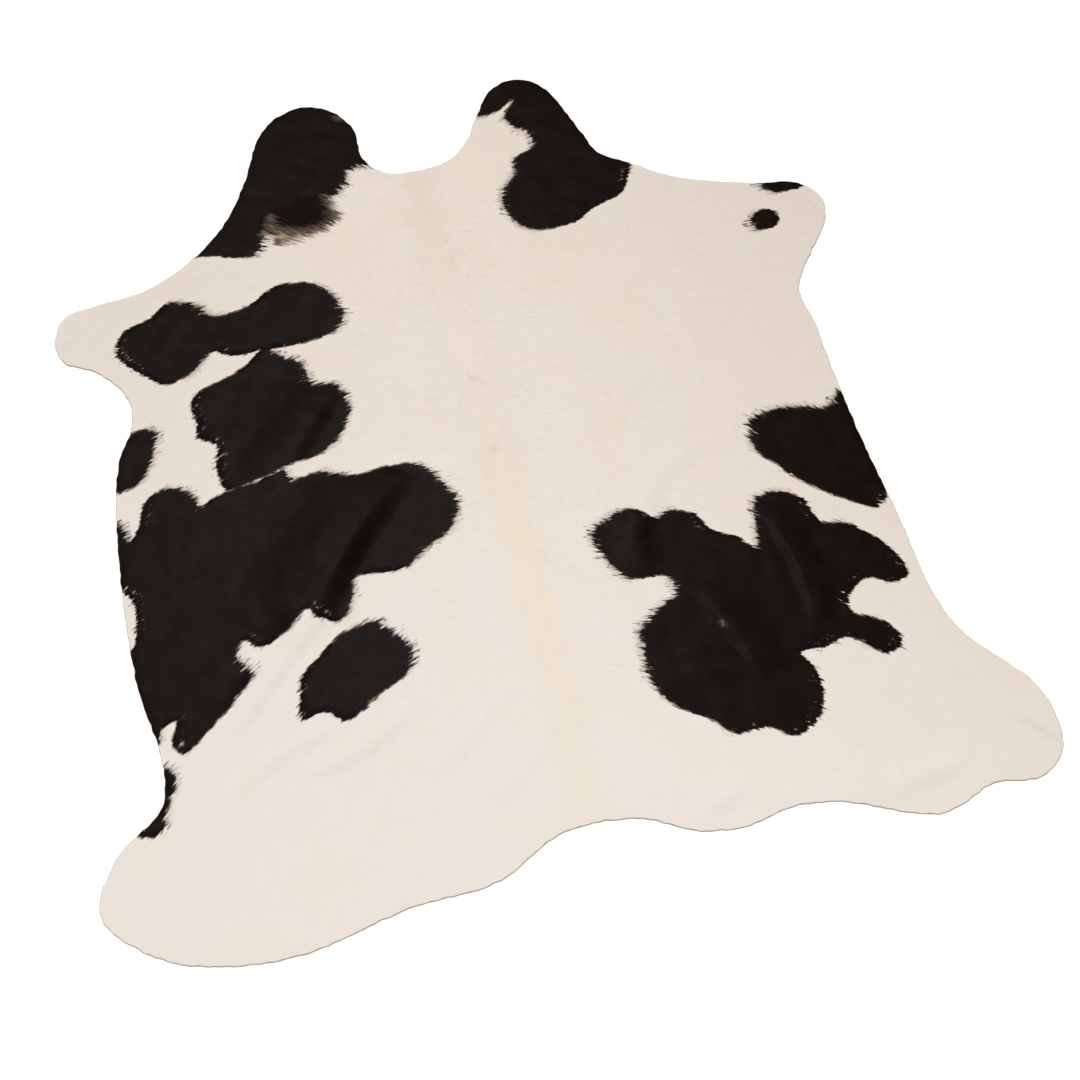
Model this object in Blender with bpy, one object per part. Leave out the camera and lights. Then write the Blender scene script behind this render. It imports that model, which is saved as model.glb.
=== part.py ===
"""Cowhide rug: one whole hide with its hair on, lying flat on the floor.

+X runs across the hide, +Y along its spine towards the neck, +Z up from the floor.
The origin lies on the floor, under the middle of the hide's own box.
"""

from collections import namedtuple

import bpy
import numpy as np
from mathutils import Vector
from mathutils.geometry import delaunay_2d_cdt

CM = 0.01
MM = 0.001

# The hide is leather with short hair lying flat on it.
LEATHER_THICKNESS = 2.0 * MM
HAIR_THICKNESS = 2.0 * MM

# Distances between the mesh's points, and the least gap that each kind of point keeps.
CURVE_STEP = 5.0 * MM
RIM_STEP = 28.0 * MM
CREASE_STEP = 32.0 * MM
CREASE_GAP = 17.0 * MM
FLAT_STEP = 80.0 * MM
FLAT_GAP = 42.0 * MM

COAT_COLOUR = (0.83, 0.76, 0.69, 1.0)
COAT_ROUGHNESS = 0.85

# Places on the rim, in order around it, measured from the middle of the hide.
Landmark = namedtuple("Landmark", "place across_cm along_cm")
OUTLINE = (
    Landmark("neck notch, left corner", -12.5, 83.0),
    Landmark("neck notch, middle", 0.0, 82.2),
    Landmark("neck notch, right foot", 5.0, 83.9),
    Landmark("neck notch, right slope", 10.0, 88.7),
    Landmark("right neck lobe, inner side", 14.8, 97.5),
    Landmark("right neck lobe, inner shoulder", 20.0, 105.2),
    Landmark("right neck lobe, tip", 27.0, 107.4),
    Landmark("right neck lobe, outer shoulder", 33.4, 103.5),
    Landmark("right neck lobe, outer side", 40.0, 86.0),
    Landmark("right neck lobe, root", 42.8, 77.8),
    Landmark("right shoulder, top", 50.0, 72.5),
    Landmark("right shoulder, middle", 60.0, 65.5),
    Landmark("right foreleg, upper side", 80.0, 58.8),
    Landmark("right foreleg, upper corner", 89.2, 57.2),
    Landmark("right foreleg, outer side", 94.3, 52.5),
    Landmark("right foreleg, tip", 94.8, 46.5),
    Landmark("right foreleg, lower slope", 91.5, 40.0),
    Landmark("right foreleg, lower side", 87.0, 34.3),
    Landmark("right elbow", 80.8, 24.0),
    Landmark("right flank, chest", 81.6, 13.0),
    Landmark("right flank, ribs", 81.5, 4.0),
    Landmark("right flank, belly", 82.2, -20.0),
    Landmark("right flank, loin", 83.9, -42.0),
    Landmark("right flank, groin", 85.0, -62.0),
    Landmark("right hind leg, upper side", 88.0, -72.0),
    Landmark("right hind leg, upper corner", 99.0, -87.0),
    Landmark("right hind leg, tip", 100.7, -95.0),
    Landmark("right hind leg, lower corner", 98.5, -103.5),
    Landmark("right hind leg, lower edge", 92.0, -107.2),
    Landmark("right hind leg, hollow", 83.0, -106.2),
    Landmark("right hind leg, lowest point", 70.0, -110.0),
    Landmark("right tail edge, slope", 50.0, -103.0),
    Landmark("right tail edge, high point", 40.0, -102.0),
    Landmark("right tail edge, dip", 30.0, -103.9),
    Landmark("right tail edge, inner dip", 20.0, -102.6),
    Landmark("tail root, right", 9.0, -97.5),
    Landmark("tail root, left", -7.0, -97.0),
    Landmark("left tail edge, inner end", -22.0, -104.0),
    Landmark("left tail edge, middle", -40.0, -105.3),
    Landmark("left hind leg, lowest point", -62.0, -109.7),
    Landmark("left hind leg, lower side", -77.0, -108.8),
    Landmark("left hind leg, lower corner", -90.0, -104.4),
    Landmark("left hind leg, tip", -100.6, -93.5),
    Landmark("left hind leg, upper corner", -96.3, -82.4),
    Landmark("left hind leg, upper side", -86.4, -73.8),
    Landmark("left flank, groin", -85.3, -64.0),
    Landmark("left flank, belly", -88.8, -45.0),
    Landmark("left flank, ribs", -89.6, -8.0),
    Landmark("left flank, chest", -87.4, 11.0),
    Landmark("left elbow", -83.6, 20.0),
    Landmark("left foreleg, lower side", -83.8, 28.0),
    Landmark("left foreleg, lower slope", -90.0, 36.8),
    Landmark("left foreleg, lower corner", -98.0, 42.0),
    Landmark("left foreleg, tip", -99.3, 48.5),
    Landmark("left foreleg, upper corner", -96.5, 54.8),
    Landmark("left foreleg, upper side", -88.0, 56.9),
    Landmark("left shoulder, slope", -77.0, 58.6),
    Landmark("left shoulder, middle", -65.0, 65.2),
    Landmark("left shoulder, top", -55.0, 75.4),
    Landmark("left neck lobe, outer slope", -48.2, 88.0),
    Landmark("left neck lobe, outer side", -43.0, 101.5),
    Landmark("left neck lobe, outer shoulder", -38.0, 107.3),
    Landmark("left neck lobe, tip", -30.0, 110.0),
    Landmark("left neck lobe, inner shoulder", -22.5, 106.6),
    Landmark("left neck lobe, inner side", -17.9, 99.0),
    Landmark("left neck lobe, root", -17.4, 89.5),
)

# Each crease is a low ridge over a parabola: it runs from one end to the other and bows out
# to the left of that way, or to the right where its bow is negative. Its left and its right
# flank reach out by their own widths, so that one can be steeper than the other.
Crease = namedtuple("Crease", "place start_cm end_cm bow_cm height_mm left_cm right_cm")
CREASES = (
    Crease("left flank fold", (-24.5, -5.5), (-54.0, -45.0), -2.2, 13.0, 6.0, 20.0),
    Crease("left flank fold, lower end", (-48.5, -37.0), (-73.0, -63.5), 0.3, 5.5, 3.0, 7.0),
    Crease("left flank, second fold", (-44.5, -41.5), (-68.0, -67.0), 0.3, 2.4, 6.0, 3.0),
    Crease("left rib fold", (-34.5, 23.5), (-54.5, -4.0), 0.0, 7.5, 5.2, 14.0),
    Crease("left stifle", (-46.6, -63.7), (-75.6, -76.7), -2.0, 4.0, 3.0, 4.0),
    Crease("left thigh", (-28.6, -61.0), (-59.0, -73.8), 2.5, 4.5, 3.0, 4.0),
    Crease("left rump", (-7.4, -61.7), (-32.0, -80.0), 0.0, 4.0, 3.0, 4.0),
    Crease("left of the tail root", (-4.0, -71.0), (-22.0, -87.0), 2.5, 3.0, 4.0, 4.0),
    Crease("right rib fold", (43.0, 13.0), (23.5, -11.0), -3.5, 2.2, 4.0, 4.0),
    Crease("right flank fold", (49.0, -12.5), (23.0, -38.5), -6.0, 5.5, 4.5, 6.0),
    Crease("right flank fold, lower end", (27.0, -24.0), (21.5, -43.0), -0.5, 3.0, 7.0, 5.0),
    Crease("right hip, outer fold", (54.0, -32.0), (58.0, -64.0), 1.6, 4.0, 7.0, 2.4),
    Crease("right hip, inner fold", (33.2, -47.7), (43.2, -73.2), 0.8, 3.6, 9.0, 2.2),
    Crease("right hip, cross fold", (17.0, -68.3), (48.0, -70.0), 0.3, 5.0, 7.0, 5.0),
    Crease("right shoulder", (61.0, 47.0), (71.0, 35.0), 0.8, 2.8, 4.0, 4.0),
    Crease("right of the tail root", (9.0, -74.0), (16.0, -99.0), 1.5, 2.2, 4.0, 4.0),
    Crease("right tail edge", (18.0, -100.0), (34.0, -93.0), -1.0, 4.5, 4.5, 3.5),
    Crease("right hind leg, lower edge", (60.0, -103.0), (78.0, -100.5), 0.5, 5.0, 4.5, 3.5),
    Crease("right hind leg, tip", (91.0, -91.0), (102.0, -103.0), 0.8, 8.0, 4.0, 3.0),
)


def clear_scene():
    """Start from an empty scene."""
    for old in list(bpy.data.objects):
        bpy.data.objects.remove(old, do_unlink=True)


def smooth_closed_curve(corners, step):
    """Points on a closed centripetal Catmull-Rom curve, which passes through every corner."""
    before = np.roll(corners, 1, axis=0)
    after = np.roll(corners, -1, axis=0)
    beyond = np.roll(corners, -2, axis=0)
    pieces = []
    for a, b, c, d in zip(before, corners, after, beyond):
        t_b = np.sqrt(np.linalg.norm(b - a))
        t_c = t_b + np.sqrt(np.linalg.norm(c - b))
        t_d = t_c + np.sqrt(np.linalg.norm(d - c))
        count = max(2, round(np.linalg.norm(c - b) / step))
        t = np.linspace(t_b, t_c, count, endpoint=False)[:, None]
        ab = ((t_b - t) * a + t * b) / t_b
        bc = ((t_c - t) * b + (t - t_b) * c) / (t_c - t_b)
        cd = ((t_d - t) * c + (t - t_c) * d) / (t_d - t_c)
        abc = ((t_c - t) * ab + t * bc) / t_c
        bcd = ((t_d - t) * bc + (t - t_b) * cd) / (t_d - t_b)
        pieces.append(((t_c - t) * abc + (t - t_b) * bcd) / (t_c - t_b))
    return np.vstack(pieces)


def evenly_spaced(curve, step):
    """The same closed curve, as points about one step apart along it."""
    closed = np.vstack([curve, curve[:1]])
    length = np.concatenate([[0.0], np.cumsum(np.linalg.norm(np.diff(closed, axis=0), axis=1))])
    stations = np.linspace(0.0, length[-1], round(length[-1] / step), endpoint=False)
    across = np.interp(stations, length, closed[:, 0])
    along = np.interp(stations, length, closed[:, 1])
    return np.column_stack([across, along])


def rim_loop():
    """The rim, evenly spaced, and the middle of its box in the landmarks' own measure."""
    corners = np.array([(mark.across_cm, mark.along_cm) for mark in OUTLINE]) * CM
    rim = evenly_spaced(smooth_closed_curve(corners, CURVE_STEP), RIM_STEP)
    middle = (rim.min(axis=0) + rim.max(axis=0)) / 2
    return rim - middle, middle


def crease_height(points, middle):
    """How high the creases lift the hide at each point: zero wherever no crease reaches."""
    height = np.zeros(len(points))
    for crease in CREASES:
        start = np.array(crease.start_cm) * CM - middle
        chord = np.array(crease.end_cm) * CM - middle - start
        length = np.linalg.norm(chord)
        way = chord / length
        left = np.array([-way[1], way[0]])
        offset = points - start
        share = np.clip(offset @ way / length, 0.0, 1.0)
        sideways = offset @ left - crease.bow_cm * CM * 4 * share * (1 - share)
        flank = np.where(sideways > 0, crease.left_cm, crease.right_cm) * CM
        across = np.clip(np.abs(sideways) / flank, 0.0, 1.0)
        profile = np.cos(across * np.pi / 2) ** 2
        height += crease.height_mm * MM * profile * np.sin(share * np.pi) ** 0.7
    return height


def crease_rows(middle):
    """Rows of points along each crease: on its crest, half way down and at its foot."""
    rows = []
    for crease in CREASES:
        start = np.array(crease.start_cm) * CM - middle
        chord = np.array(crease.end_cm) * CM - middle - start
        left = np.array([-chord[1], chord[0]]) / np.linalg.norm(chord)
        share = np.linspace(0.0, 1.0, round(np.linalg.norm(chord) / CREASE_STEP) + 1)[:, None]
        crest = start + share * chord + crease.bow_cm * CM * 4 * share * (1 - share) * left
        rows.append(crest)
        for part_of_flank in (0.5, 1.0):
            rows.append(crest + part_of_flank * crease.left_cm * CM * left)
            rows.append(crest - part_of_flank * crease.right_cm * CM * left)
    return np.vstack(rows)


def flat_lattice(rim):
    """A staggered lattice over the rim's whole box."""
    reach = np.abs(rim).max() + FLAT_STEP
    last = int(reach / FLAT_STEP)
    column, row = np.meshgrid(np.arange(-last, last + 1), np.arange(-last, last + 1))
    across = (column + (row % 2) / 2) * FLAT_STEP
    return np.column_stack([across.ravel(), row.ravel() * FLAT_STEP])


def is_inside(points, loop):
    """Which points a closed loop holds: those with an odd number of its edges to their right."""
    x, y = points[:, :1], points[:, 1:]
    next_loop = np.roll(loop, -1, axis=0)
    straddles = (loop[:, 1] > y) != (next_loop[:, 1] > y)
    rise = next_loop[:, 1] - loop[:, 1]
    rise[rise == 0] = 1.0
    crossing_x = loop[:, 0] + (y - loop[:, 1]) * (next_loop[:, 0] - loop[:, 0]) / rise
    return np.count_nonzero(straddles & (x < crossing_x), axis=1) % 2 == 1


def with_points_apart(kept, candidates, gap):
    """The kept points, and those candidates that lie further than the gap from all of them."""
    for point in candidates:
        if np.linalg.norm(kept - point, axis=1).min() > gap:
            kept = np.vstack([kept, point])
    return kept


def flesh_side_mesh():
    """The hide's underside: triangles between the rim, the creases' rows and the lattice."""
    rim, middle = rim_loop()
    creases = crease_rows(middle)
    lattice = flat_lattice(rim)
    points = with_points_apart(rim, creases[is_inside(creases, rim)], CREASE_GAP)
    points = with_points_apart(points, lattice[is_inside(lattice, rim)], FLAT_GAP)
    rim_edges = [(k, (k + 1) % len(rim)) for k in range(len(rim))]
    inside_the_rim = 1
    smallest_gap = 0.01 * MM
    flat, _, faces, _, _, _ = delaunay_2d_cdt(
        [Vector(p) for p in points], rim_edges, [], inside_the_rim, smallest_gap)
    flat = np.array([tuple(p) for p in flat])
    corners = np.array([tuple(face) for face in faces])
    heights = crease_height(flat, middle)
    mesh = bpy.data.meshes.new("hide")
    mesh.from_pydata(np.column_stack([flat, heights]).tolist(), [], corners.tolist())
    mesh.validate()
    return mesh


def coat_material():
    """White cow hair, matt."""
    material = bpy.data.materials.new("cow_hair")
    material.use_nodes = True
    shader = material.node_tree.nodes["Principled BSDF"]
    shader.inputs["Base Color"].default_value = COAT_COLOUR
    shader.inputs["Metallic"].default_value = 0.0
    shader.inputs["Roughness"].default_value = COAT_ROUGHNESS
    return material


def build_hide():
    """One sheet of even thickness, built up from its underside."""
    hide = bpy.data.objects.new("hide", flesh_side_mesh())
    bpy.context.scene.collection.objects.link(hide)
    hide.data.materials.append(coat_material())
    thicken = hide.modifiers.new("leather and hair", "SOLIDIFY")
    thicken.thickness = LEATHER_THICKNESS + HAIR_THICKNESS
    thicken.offset = 1.0
    thicken.use_even_offset = True
    hide.data.shade_smooth()
    return hide


clear_scene()
build_hide()
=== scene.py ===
"""Dresses the cowhide rug: its leather, its black and white coat, and the hair that stands proud of it."""

from collections import namedtuple

import bpy
import numpy as np
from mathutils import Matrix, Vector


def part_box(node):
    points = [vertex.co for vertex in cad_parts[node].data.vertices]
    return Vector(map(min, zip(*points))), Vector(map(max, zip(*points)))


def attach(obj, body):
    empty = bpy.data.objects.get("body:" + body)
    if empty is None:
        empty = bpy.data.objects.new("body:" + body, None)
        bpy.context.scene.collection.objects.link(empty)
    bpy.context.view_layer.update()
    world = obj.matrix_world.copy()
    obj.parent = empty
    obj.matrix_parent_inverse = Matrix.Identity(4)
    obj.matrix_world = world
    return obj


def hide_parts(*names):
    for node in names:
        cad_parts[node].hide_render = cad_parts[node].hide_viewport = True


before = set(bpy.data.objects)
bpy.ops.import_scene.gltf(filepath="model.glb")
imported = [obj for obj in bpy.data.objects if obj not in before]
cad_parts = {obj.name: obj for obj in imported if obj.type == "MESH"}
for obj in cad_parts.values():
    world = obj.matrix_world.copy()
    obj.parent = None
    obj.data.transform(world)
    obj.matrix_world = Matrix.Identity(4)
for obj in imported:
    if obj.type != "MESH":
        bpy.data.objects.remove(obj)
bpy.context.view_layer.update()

# ------------------------------ The leather
# One whole tanned cowhide, 2 mm thick, cut along its own outline with a knife. Its flesh side
# is buffed to a pale tan suede and its cut edge is left raw. It lies on the floor as it dried,
# with a few low creases over the ribs, the flanks and the hips.

CM = 0.01
MM = 0.001

LEATHER_THICKNESS = 2.0 * MM
CURVE_STEP = 1.0 * MM

# The coat has a point at each place of one grid, and the leather at every second one.
GRID_STEP = 6.2 * MM
GRID_MARGIN = 5 * CM
LEATHER_CELL = 2

Mark = namedtuple("Mark", "place across_cm along_cm")
OUTLINE = (
    Mark("neck notch, left corner", -12.5, 83),
    Mark("neck notch, middle", 0, 82.2),
    Mark("neck notch, right foot", 5, 83.9),
    Mark("neck notch, right slope", 10, 88.7),
    Mark("right neck lobe, inner side", 14.8, 97.5),
    Mark("right neck lobe, inner shoulder", 20, 105.2),
    Mark("right neck lobe, tip", 27, 107.4),
    Mark("right neck lobe, outer shoulder", 33.4, 103.5),
    Mark("right neck lobe, outer side", 40, 86),
    Mark("right neck lobe, root", 42.8, 77.8),
    Mark("right shoulder, top", 50, 72.5),
    Mark("right shoulder, middle", 60, 65.5),
    Mark("right foreleg, upper side", 80, 58.8),
    Mark("right foreleg, upper corner", 89.2, 57.2),
    Mark("right foreleg, outer side", 94.3, 52.5),
    Mark("right foreleg, tip", 94.8, 46.5),
    Mark("right foreleg, lower slope", 91.5, 40),
    Mark("right foreleg, lower side", 87, 34.3),
    Mark("right elbow", 80.8, 24),
    Mark("right flank, chest", 81.6, 13),
    Mark("right flank, ribs", 81.5, 4),
    Mark("right flank, belly", 82.2, -20),
    Mark("right flank, loin", 83.9, -42),
    Mark("right flank, groin", 85, -62),
    Mark("right hind leg, upper side", 88, -72),
    Mark("right hind leg, upper corner", 99, -87),
    Mark("right hind leg, tip", 100.7, -95),
    Mark("right hind leg, lower corner", 98.5, -103.5),
    Mark("right hind leg, lower edge", 92, -107.2),
    Mark("right hind leg, hollow", 83, -106.2),
    Mark("right hind leg, lowest point", 70, -110),
    Mark("right tail edge, slope", 50, -103),
    Mark("right tail edge, high point", 40, -102),
    Mark("right tail edge, dip", 30, -103.9),
    Mark("right tail edge, inner dip", 20, -102.6),
    Mark("tail root, right", 9, -97.5),
    Mark("tail root, left", -7, -97),
    Mark("left tail edge, inner end", -22, -104),
    Mark("left tail edge, middle", -40, -105.3),
    Mark("left hind leg, lowest point", -62, -109.7),
    Mark("left hind leg, lower side", -77, -108.8),
    Mark("left hind leg, lower corner", -90, -104.4),
    Mark("left hind leg, tip", -100.6, -93.5),
    Mark("left hind leg, upper corner", -96.3, -82.4),
    Mark("left hind leg, upper side", -86.4, -73.8),
    Mark("left flank, groin", -85.3, -64),
    Mark("left flank, belly", -88.8, -45),
    Mark("left flank, ribs", -89.6, -8),
    Mark("left flank, chest", -87.4, 11),
    Mark("left elbow", -83.6, 20),
    Mark("left foreleg, lower side", -83.8, 28),
    Mark("left foreleg, lower slope", -90, 36.8),
    Mark("left foreleg, lower corner", -98, 42),
    Mark("left foreleg, tip", -99.3, 48.5),
    Mark("left foreleg, upper corner", -96.5, 54.8),
    Mark("left foreleg, upper side", -88, 56.9),
    Mark("left shoulder, slope", -77, 58.6),
    Mark("left shoulder, middle", -65, 65.2),
    Mark("left shoulder, top", -55, 75.4),
    Mark("left neck lobe, outer slope", -48.2, 88),
    Mark("left neck lobe, outer side", -43, 101.5),
    Mark("left neck lobe, outer shoulder", -38, 107.3),
    Mark("left neck lobe, tip", -30, 110),
    Mark("left neck lobe, inner shoulder", -22.5, 106.6),
    Mark("left neck lobe, inner side", -17.9, 99),
    Mark("left neck lobe, root", -17.4, 89.5),
)

# A crease runs from its start to its end and bows out to the left of that way. Its left and its
# right flank reach out by their own widths.
Crease = namedtuple("Crease", "place start_cm end_cm bow_cm height_mm left_cm right_cm")
CREASES = (
    Crease("left flank fold", (-24.5, -5.5), (-54, -45), -2.2, 13, 6, 20),
    Crease("left flank fold, lower end", (-48.5, -37), (-73, -63.5), 0.3, 5.5, 3, 7),
    Crease("left flank, second fold", (-44.5, -41.5), (-68, -67), 0.3, 2.4, 6, 3),
    Crease("left rib fold", (-34.5, 23.5), (-54.5, -4), 0, 7.5, 5.2, 14),
    Crease("left stifle", (-46.6, -63.7), (-75.6, -76.7), -2, 4, 3, 4),
    Crease("left thigh", (-28.6, -61), (-59, -73.8), 2.5, 4.5, 3, 4),
    Crease("left rump", (-7.4, -61.7), (-32, -80), 0, 4, 3, 4),
    Crease("left of the tail root", (-4, -71), (-22, -87), 2.5, 3, 4, 4),
    Crease("right rib fold", (43, 13), (23.5, -11), -3.5, 2.2, 4, 4),
    Crease("right flank fold", (49, -12.5), (23, -38.5), -6, 5.5, 4.5, 6),
    Crease("right flank fold, lower end", (27, -24), (21.5, -43), -0.5, 3, 7, 5),
    Crease("right hip, outer fold", (54, -32), (58, -64), 1.6, 4, 7, 2.4),
    Crease("right hip, inner fold", (33.2, -47.7), (43.2, -73.2), 0.8, 3.6, 9, 2.2),
    Crease("right hip, cross fold", (17, -68.3), (48, -70), 0.3, 5, 7, 5),
    Crease("right shoulder", (61, 47), (71, 35), 0.8, 2.8, 4, 4),
    Crease("right of the tail root", (9, -74), (16, -99), 1.5, 2.2, 4, 4),
    Crease("right tail edge", (18, -100), (34, -93), -1, 4.5, 4.5, 3.5),
    Crease("right hind leg, lower edge", (60, -103), (78, -100.5), 0.5, 5, 4.5, 3.5),
    Crease("right hind leg, tip", (91, -91), (102, -103), 0.8, 8, 4, 3),
)
BLUNT_ENDS = 0.7


def smooth_closed_curve(corners, step):
    """Points on a closed centripetal Catmull-Rom curve, which passes through every corner."""
    before = np.roll(corners, 1, axis=0)
    after = np.roll(corners, -1, axis=0)
    beyond = np.roll(corners, -2, axis=0)
    pieces = []
    for a, b, c, d in zip(before, corners, after, beyond):
        t_b = np.sqrt(np.linalg.norm(b - a))
        t_c = t_b + np.sqrt(np.linalg.norm(c - b))
        t_d = t_c + np.sqrt(np.linalg.norm(d - c))
        count = max(2, round(np.linalg.norm(c - b) / step))
        t = np.linspace(t_b, t_c, count, endpoint=False)[:, None]
        ab = ((t_b - t) * a + t * b) / t_b
        bc = ((t_c - t) * b + (t - t_b) * c) / (t_c - t_b)
        cd = ((t_d - t) * c + (t - t_c) * d) / (t_d - t_c)
        abc = ((t_c - t) * ab + t * bc) / t_c
        bcd = ((t_d - t) * bc + (t - t_b) * cd) / (t_d - t_b)
        pieces.append(((t_c - t) * abc + (t - t_b) * bcd) / (t_c - t_b))
    return np.vstack(pieces)


# The landmarks' own middle goes to the middle of the CAD hide's box.
landmarks = np.array([(mark.across_cm, mark.along_cm) for mark in OUTLINE]) * CM
rim = smooth_closed_curve(landmarks, CURVE_STEP)
hide_low, hide_high = np.array(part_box("hide"))[:, :2]
middle = (rim.min(axis=0) + rim.max(axis=0)) / 2 - (hide_low + hide_high) / 2
rim = rim - middle
rim_length = np.cumsum(np.linalg.norm(np.roll(rim, -1, axis=0) - rim, axis=1))
WAY_OVER = 3
rim_way = np.roll(rim, -WAY_OVER, axis=0) - np.roll(rim, WAY_OVER, axis=0)
rim_way /= np.linalg.norm(rim_way, axis=1)[:, None]
rim_outward = np.column_stack([-rim_way[:, 1], rim_way[:, 0]])

# The knife wavered: the cut runs in and out by about a millimetre, as a few waves round the rim.
CUT_WAVER = 0.45 * MM
CUT_WAVES_ROUND = (97, 131, 178, 241, 310)
turns_round = 2 * np.pi * rim_length / rim_length[-1]
waver = sum(np.sin(waves * turns_round + waves ** 2) for waves in CUT_WAVES_ROUND)
rim = rim + rim_outward * (waver * CUT_WAVER)[:, None]

# Everything that varies over the hide is worked out on one square grid, row by row up the hide.
column_x = np.arange(hide_low[0] - GRID_MARGIN, hide_high[0] + GRID_MARGIN, GRID_STEP)
row_y = np.arange(hide_low[1] - GRID_MARGIN, hide_high[1] + GRID_MARGIN, GRID_STEP)
grid_x, grid_y = np.meshgrid(column_x, row_y)


def crease_height(x, y):
    """Each crease adds a cosine-squared ridge over a parabola, times a sine's power from end to end."""
    height = np.zeros(np.shape(x))
    for crease in CREASES:
        start = np.array(crease.start_cm) * CM - middle
        chord = np.array(crease.end_cm) * CM - middle - start
        length = np.linalg.norm(chord)
        way = chord / length
        share = np.clip(((x - start[0]) * way[0] + (y - start[1]) * way[1]) / length, 0.0, 1.0)
        sideways = (y - start[1]) * way[0] - (x - start[0]) * way[1]
        sideways = sideways - crease.bow_cm * CM * 4 * share * (1 - share)
        flank = np.where(sideways > 0, crease.left_cm, crease.right_cm) * CM
        across = np.clip(np.abs(sideways) / flank, 0.0, 1.0)
        profile = np.cos(across * np.pi / 2) ** 2
        height += crease.height_mm * MM * profile * np.sin(share * np.pi) ** BLUNT_ENDS
    return height


def inside_of(curve):
    """The grid points in a closed curve: along each row, those past an odd number of crossings."""
    end = np.roll(curve, -1, axis=0)
    rows, edges = np.nonzero((curve[:, 1] > row_y[:, None]) != (end[:, 1] > row_y[:, None]))
    share = (row_y[rows] - curve[edges, 1]) / (end[edges, 1] - curve[edges, 1])
    crossing_x = curve[edges, 0] + share * (end[edges, 0] - curve[edges, 0])
    columns = np.searchsorted(column_x, crossing_x)
    on_grid = columns < len(column_x)
    crossings = np.zeros(grid_x.shape, dtype=int)
    np.add.at(crossings, (rows[on_grid], columns[on_grid]), 1)
    return np.cumsum(crossings, axis=1) % 2 == 1


def depth_in(curve, reach):
    """How deep each grid point lies in a closed curve: the distance to it, minus outside it.

    Every point of the curve offers its distance to the grid points round it, which keep the least.
    """
    near = np.arange(-int(reach / GRID_STEP) - 1, int(reach / GRID_STEP) + 2)
    row = np.rint((curve[:, 1, None, None] - row_y[0]) / GRID_STEP).astype(int) + near[:, None]
    column = np.rint((curve[:, 0, None, None] - column_x[0]) / GRID_STEP).astype(int) + near
    row, column = np.broadcast_arrays(row, column)
    on_grid = (row >= 0) & (row < len(row_y)) & (column >= 0) & (column < len(column_x))
    owner = np.broadcast_to(np.arange(len(curve))[:, None, None], row.shape)[on_grid]
    row, column = row[on_grid], column[on_grid]
    gap = np.hypot(column_x[column] - curve[owner, 0], row_y[row] - curve[owner, 1])
    distance = np.full(grid_x.shape, reach)
    np.minimum.at(distance, (row, column), gap)
    return np.where(inside_of(curve), distance, -distance)


BORDER_REACH = 3 * CM


def lattice_cut_along(border, every):
    """A lattice of the grid's points, cut along a border curve.

    It keeps the cells whose middle lies inside. The corners on their outer edge are pulled onto the
    nearest point of the border. Gives the corners' places, the cells as corner numbers, which corners
    are outer ones, in order round the border, and the number of the border's point at each.
    """
    depth = depth_in(border, BORDER_REACH)[::every, ::every]
    x, y = grid_x[::every, ::every], grid_y[::every, ::every]
    kept = depth[:-1, :-1] + depth[:-1, 1:] + depth[1:, :-1] + depth[1:, 1:] > 0
    number = np.arange(x.size).reshape(x.shape)
    cells = np.stack([number[:-1, :-1], number[:-1, 1:], number[1:, 1:], number[1:, :-1]], axis=-1)[kept]
    used, cells = np.unique(cells, return_inverse=True)
    cells = cells.reshape(-1, 4)
    places = np.column_stack([x.ravel()[used], y.ravel()[used]])
    outer = np.nonzero(np.bincount(cells.ravel()) < 4)[0]
    aside, ahead = (places[outer, None] - border[None]).transpose(2, 0, 1)
    nearest = np.argmin(aside ** 2 + ahead ** 2, axis=1)
    order = np.argsort(nearest, kind="stable")
    outer, nearest = outer[order], nearest[order]
    places[outer] = border[nearest]
    return places, cells, outer, nearest


def in_scene(name, data):
    """A new object, at the origin and unturned."""
    thing = bpy.data.objects.new(name, data)
    bpy.context.scene.collection.objects.link(thing)
    return thing


MAP_MARGIN = 0.004


def new_piece(name, places, faces, material, values=None, plan=None):
    """A mesh object at the origin, smooth, with its values at the points and its own map.

    The plan gives each point's place on the map, which it is stretched to fill.
    """
    mesh = bpy.data.meshes.new(name)
    mesh.from_pydata(np.asarray(places, dtype=float).tolist(), [], faces)
    for value_name, value in (values or {}).items():
        kind, key = ("FLOAT", "value") if value.ndim == 1 else ("FLOAT_VECTOR", "vector")
        attribute = mesh.attributes.new(value_name, kind, "POINT")
        attribute.data.foreach_set(key, value.astype(np.float32).ravel())
    if plan is not None:
        low, high = plan.min(axis=0), plan.max(axis=0)
        spread = MAP_MARGIN + (1 - 2 * MAP_MARGIN) * (plan - low) / (high - low)
        corner = np.empty(len(mesh.loops), dtype=np.int32)
        mesh.loops.foreach_get("vertex_index", corner)
        layer = mesh.uv_layers.new(name="OFBake", do_init=False)
        layer.uv.foreach_set("vector", spread[corner].astype(np.float32).ravel())
    mesh.materials.append(material)
    mesh.shade_smooth()
    piece = in_scene(name, mesh)
    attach(piece, "root")
    return piece


class Value:
    """A number that varies over a surface. Working with it adds Math nodes to its look."""

    def __init__(self, look, socket):
        self.look = look
        self.socket = socket

    def worked(self, operation, *others):
        return self.look.math(operation, self, *others)

    def __add__(self, other):
        return self.worked("ADD", other)

    def __sub__(self, other):
        return self.worked("SUBTRACT", other)

    def __rsub__(self, other):
        return self.look.math("SUBTRACT", other, self)

    def __mul__(self, other):
        return self.worked("MULTIPLY", other)

    def __truediv__(self, other):
        return self.worked("DIVIDE", other)

    __radd__ = __add__
    __rmul__ = __mul__


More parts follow.
